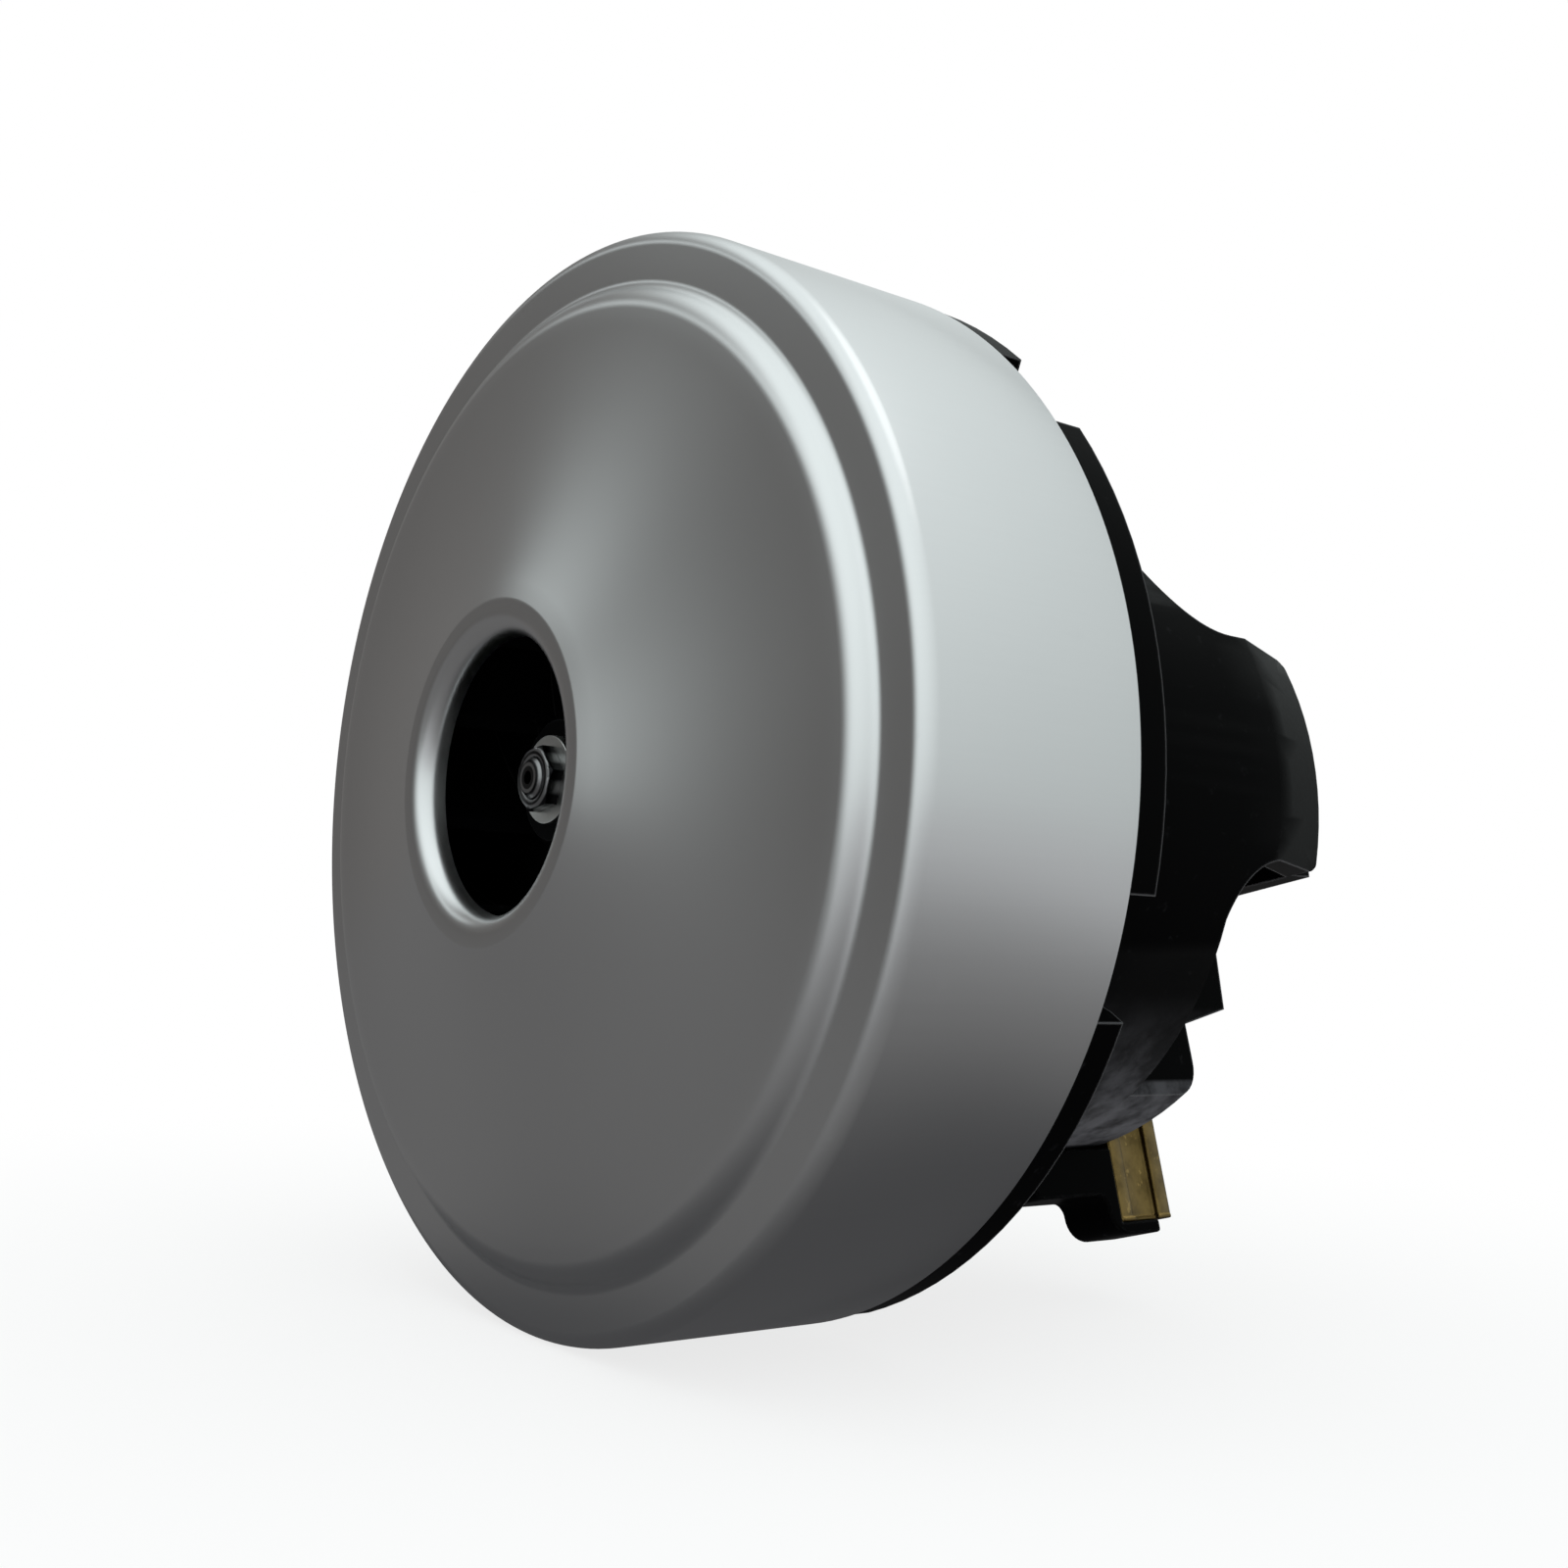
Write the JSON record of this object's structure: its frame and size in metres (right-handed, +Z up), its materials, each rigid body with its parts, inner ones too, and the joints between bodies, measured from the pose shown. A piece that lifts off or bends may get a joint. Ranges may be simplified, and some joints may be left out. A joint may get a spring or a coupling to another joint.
{
  "type": "vacuum motor unit",
  "caption": "Brush motor for a vacuum cleaner with a centrifugal fan under a drawn steel cover: round inlet, black motor housing with a rear bridge, and brass brush holders.",
  "frame": {"origin": "middle of the inlet throat, on the shaft axis", "axes": "+Y along the shaft from the inlet to the brush end, +Z up as pictured, +X towards the right-hand bridge leg seen from the inlet"},
  "size_m": [0.135, 0.1163, 0.135],
  "materials": {
    "cover_steel": "drawn and satin",
    "black_moulding": "black glass-filled moulding, satin",
    "fan_plastic": "black moulding",
    "bracket_metal": "die cast",
    "zinc_screw": "zinc plated",
    "dark_nut": "blackened",
    "shaft_steel": "ground",
    "bearing_steel": "ground",
    "spring_steel": "drawn wire",
    "lamination": "stacked sheet, oiled",
    "copper_wire": "enamelled",
    "copper_bar": "turned",
    "brush_brass": "folded sheet, dull",
    "tinned_brass": "tinned",
    "carbon": "pressed carbon",
    "liner_film": "polyester film",
    "brown_resin": "moulded resin"
  },
  "bodies": {
    "motor_frame": {"fan_cover": "cover_steel", "diffuser": "fan_plastic", "front_bracket": "bracket_metal", "bracket_screws": "zinc_screw", "motor_housing": "black_moulding", "stator_core": "lamination", "stator_screws": "zinc_screw", "field_coil_near": "copper_wire", "field_coil_far": "copper_wire", "slot_liners": "liner_film", "front_bearing_outer": "bearing_steel", "rear_bearing_outer": "bearing_steel", "bearing_shim": "bearing_steel", "brush_sleeve_lower": "brush_brass", "brush_sleeve_upper": "brush_brass", "brush_carrier_lower": "black_moulding", "brush_carrier_upper": "black_moulding", "carrier_screws": "zinc_screw", "brush_spring_lower": "spring_steel", "brush_spring_upper": "spring_steel", "terminal_blades": "tinned_brass"},
    "rotor": {"shaft": "shaft_steel", "impeller": "fan_plastic", "impeller_shroud": "fan_plastic", "impeller_washer": "zinc_screw", "impeller_nut": "dark_nut", "impeller_spacer": "shaft_steel", "rotor_core": "lamination", "rotor_winding": "copper_wire", "commutator_bars": "copper_bar", "commutator_hub": "brown_resin", "front_bearing_inner": "bearing_steel", "rear_bearing_inner": "bearing_steel"},
    "brush_lower": {"carbon_brush_lower": "carbon"},
    "brush_upper": {"carbon_brush_upper": "carbon"},
    "front_balls": {"front_bearing_balls": "bearing_steel"},
    "rear_balls": {"rear_bearing_balls": "bearing_steel"}
  },
  "joints": [
    {"name": "rotor_spin", "type": "hinge", "parent": "motor_frame", "child": "rotor", "pos_m": [0, 0, 0], "axis": [0, 1, 0], "continuous": true},
    {"name": "front_balls_spin", "type": "hinge", "parent": "motor_frame", "child": "front_balls", "pos_m": [0, 0, 0], "axis": [0, 1, 0], "continuous": true},
    {"name": "rear_balls_spin", "type": "hinge", "parent": "motor_frame", "child": "rear_balls", "pos_m": [0, 0, 0], "axis": [0, 1, 0], "continuous": true},
    {"name": "brush_lower_slide", "type": "slide", "parent": "motor_frame", "child": "brush_lower", "axis": [0.284, 0, -0.9588], "range_m": [0, 0.006], "stiffness_N_per_m": 150, "springref_m": -0.02, "deforming": ["brush_spring_lower"]},
    {"name": "brush_upper_slide", "type": "slide", "parent": "motor_frame", "child": "brush_upper", "axis": [-0.284, 0, 0.9588], "range_m": [0, 0.006], "stiffness_N_per_m": 150, "springref_m": -0.02, "deforming": ["brush_spring_upper"]}
  ],
  "couplings": [
    {"joint": "front_balls_spin", "follows": "rotor_spin", "ratio": 0.36765},
    {"joint": "rear_balls_spin", "follows": "rotor_spin", "ratio": 0.36911}
  ]
}
